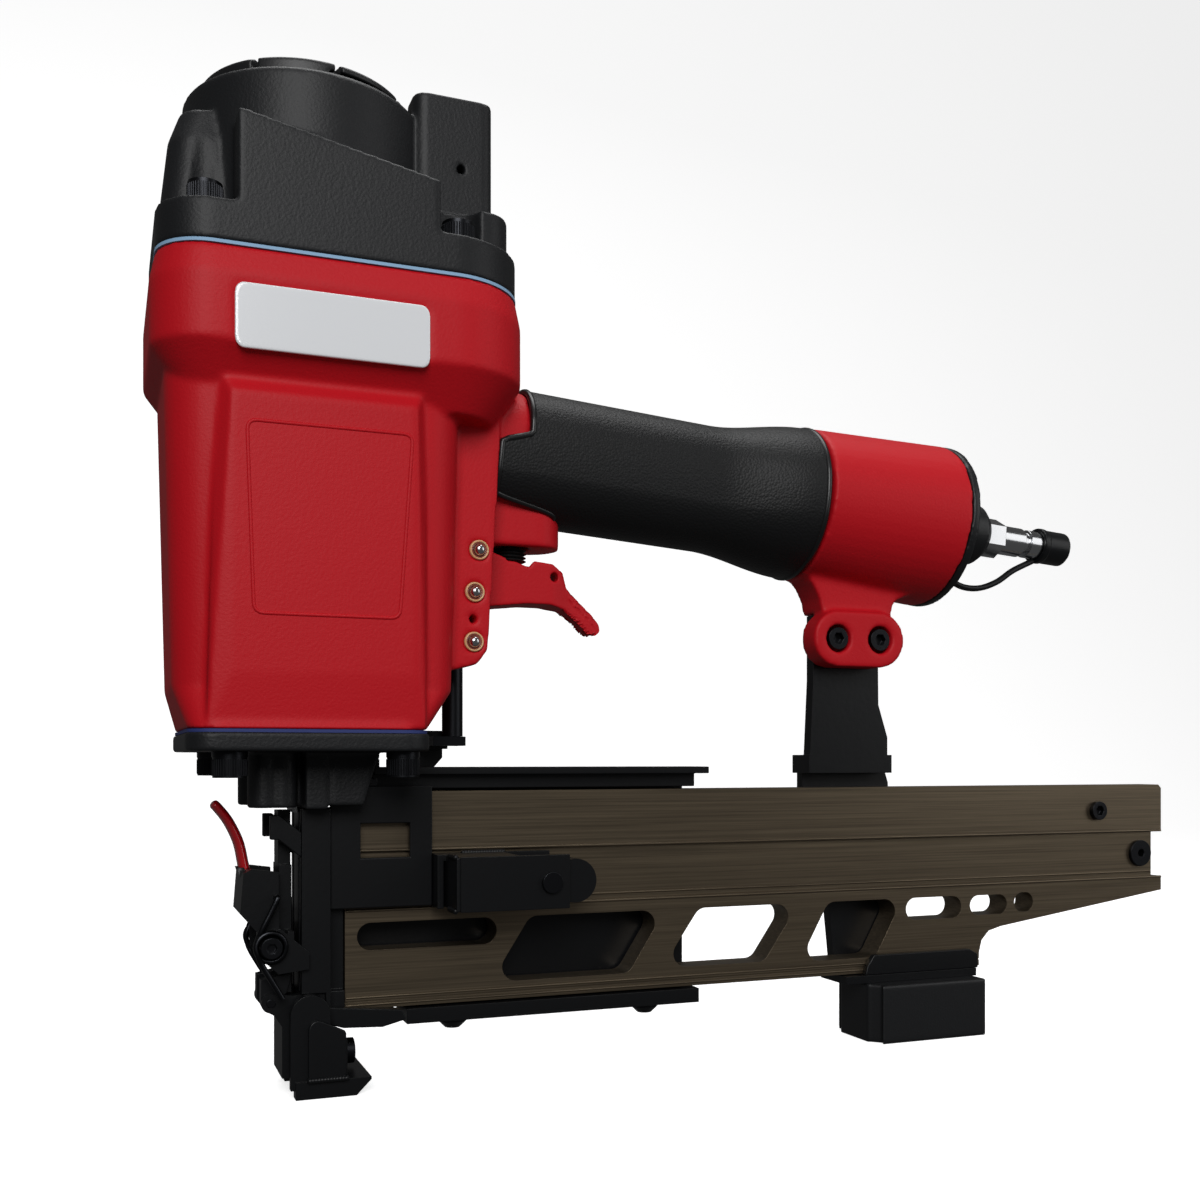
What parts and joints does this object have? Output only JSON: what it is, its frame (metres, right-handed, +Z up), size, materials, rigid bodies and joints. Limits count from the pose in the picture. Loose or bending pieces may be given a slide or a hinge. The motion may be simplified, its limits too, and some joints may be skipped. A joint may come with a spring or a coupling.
{
  "type": "flooring nailer",
  "caption": "Pneumatic flooring nailer: red cast body, black cap and nose, sliding aluminium staple magazine, rear mounting foot",
  "frame": {"origin": "on the floor under the driver blade", "axes": "+X from the nose to the air plug, -Y is the operator's left, +Z up"},
  "size_m": [0.4143, 0.0888, 0.3285],
  "materials": {
    "red_paint": "matte, fine texture",
    "blue_gasket": "matte",
    "pale_gasket": "matte",
    "black_paint": "satin, fine texture",
    "black_plastic": "matte",
    "black_rubber": "matte, fine pebbles",
    "dark_steel": "oiled",
    "bright_steel": "bright plated",
    "white_plastic": "glossy, domed",
    "red_dip": "glossy, dipped",
    "amber_plastic": "translucent",
    "anodised": "brushed, anodised",
    "brass": "machined"
  },
  "bodies": {
    "frame_body": {"body_casting": "red_paint", "base_gasket": "blue_gasket", "nose_casting": "black_paint", "base_screws": "dark_steel", "head_gasket": "pale_gasket", "head_cap": "black_paint", "cap_screws": "dark_steel", "deflector_screw": "dark_steel", "label_plates": "white_plastic", "cylinder_sleeve": "anodised", "sleeve_seals": "black_rubber", "bumper": "black_rubber", "head_valve_spring": "dark_steel", "grip_sleeve": "black_rubber", "end_cap": "black_plastic", "plug_bush": "black_plastic", "air_plug": "bright_steel", "dust_cap_tether": "black_plastic", "trigger_pins": "bright_steel", "pin_grommets": "amber_plastic", "valve_body": "brass", "valve_boot": "black_rubber", "safety_spring": "dark_steel", "nose_plates": "black_paint", "nose_tip": "black_paint", "rail_tip": "black_paint", "hook_arms": "black_paint", "door_pin": "dark_steel", "front_guide": "black_paint", "guide_channel": "black_paint", "channel_screws": "dark_steel", "catch_bracket": "black_paint", "catch_pin": "dark_steel", "rear_bracket": "black_paint", "clamp_screws": "dark_steel", "foot_clip": "black_paint", "foot_block": "black_plastic"},
    "driver": {"piston": "anodised", "piston_ring": "black_rubber", "driver_blade": "dark_steel"},
    "head_valve_body": {"head_valve": "amber_plastic"},
    "deflector": {"exhaust_deflector": "black_paint"},
    "trigger_body": {"trigger": "red_paint"},
    "stem": {"valve_stem": "bright_steel"},
    "contact": {"contact_foot": "black_paint", "contact_screw": "dark_steel", "contact_link": "black_paint", "safety_rod": "dark_steel"},
    "door": {"nose_door": "black_paint", "latch_bolt": "dark_steel", "latch_wire": "dark_steel"},
    "latch": {"latch_lever": "black_paint", "latch_handle": "red_dip"},
    "magazine": {"magazine_rail": "anodised", "rail_bush": "dark_steel", "rail_screw": "dark_steel"},
    "pusher": {"staple_pusher": "brass"},
    "catch": {"catch_lever": "black_paint"},
    "cap_body": {"dust_cap": "black_plastic"}
  },
  "joints": [
    {"name": "piston_stroke", "type": "slide", "parent": "frame_body", "child": "driver", "axis": [0, 0, -1], "range_m": [0, 0.087]},
    {"name": "head_valve_lift", "type": "slide", "parent": "frame_body", "child": "head_valve_body", "axis": [0, 0, 1], "range_m": [0, 0.004], "stiffness_N_per_m": 900, "deforming": ["head_valve_spring"]},
    {"name": "deflector_swivel", "type": "hinge", "parent": "frame_body", "child": "deflector", "pos_m": [0.004, 0, 0.32], "axis": [0, 0, 1], "continuous": true},
    {"name": "trigger_pull", "type": "hinge", "parent": "frame_body", "child": "trigger_body", "pos_m": [0.0571, 0, 0.1651], "axis": [0, -1, 0], "range_deg": [0, 4], "stiffness_Nm_per_rad": 0.8, "springref_deg": -5.73},
    {"name": "stem_slide", "type": "slide", "parent": "frame_body", "child": "stem", "axis": [0, 0, 1], "range_m": [0, 0.002]},
    {"name": "contact_press", "type": "slide", "parent": "frame_body", "child": "contact", "axis": [0, 0, 1], "range_m": [0, 0.005], "stiffness_N_per_m": 1500, "springref_m": -0.02, "deforming": ["safety_spring"]},
    {"name": "door_swing", "type": "hinge", "parent": "frame_body", "child": "door", "pos_m": [-0.008, 0, 0.0306], "axis": [0, 1, 0], "range_deg": [-54, 0]},
    {"name": "latch_swing", "type": "hinge", "parent": "door", "child": "latch", "pos_m": [-0.0087, 0, 0.0494], "axis": [0, 1, 0], "range_deg": [-70, 0]},
    {"name": "magazine_slide", "type": "slide", "parent": "frame_body", "child": "magazine", "axis": [1, 0, 0], "range_m": [0, 0.12]},
    {"name": "pusher_slide", "type": "slide", "parent": "magazine", "child": "pusher", "axis": [1, 0, 0], "range_m": [0, 0.25]},
    {"name": "catch_press", "type": "hinge", "parent": "frame_body", "child": "catch", "pos_m": [0.0808, 0, 0.0683], "axis": [0, 1, 0], "range_deg": [-4, 4], "stiffness_Nm_per_rad": 0.05},
    {"name": "cap_pull", "type": "slide", "parent": "frame_body", "child": "cap_body", "axis": [0.9972, 0, -0.075], "range_m": [0, 0.008]}
  ],
  "couplings": [
    {"joint": "stem_slide", "follows": "trigger_pull", "m_per_rad": 0.0179},
    {"joint": "door_swing", "follows": "latch_swing", "ratio": 0.75}
  ]
}
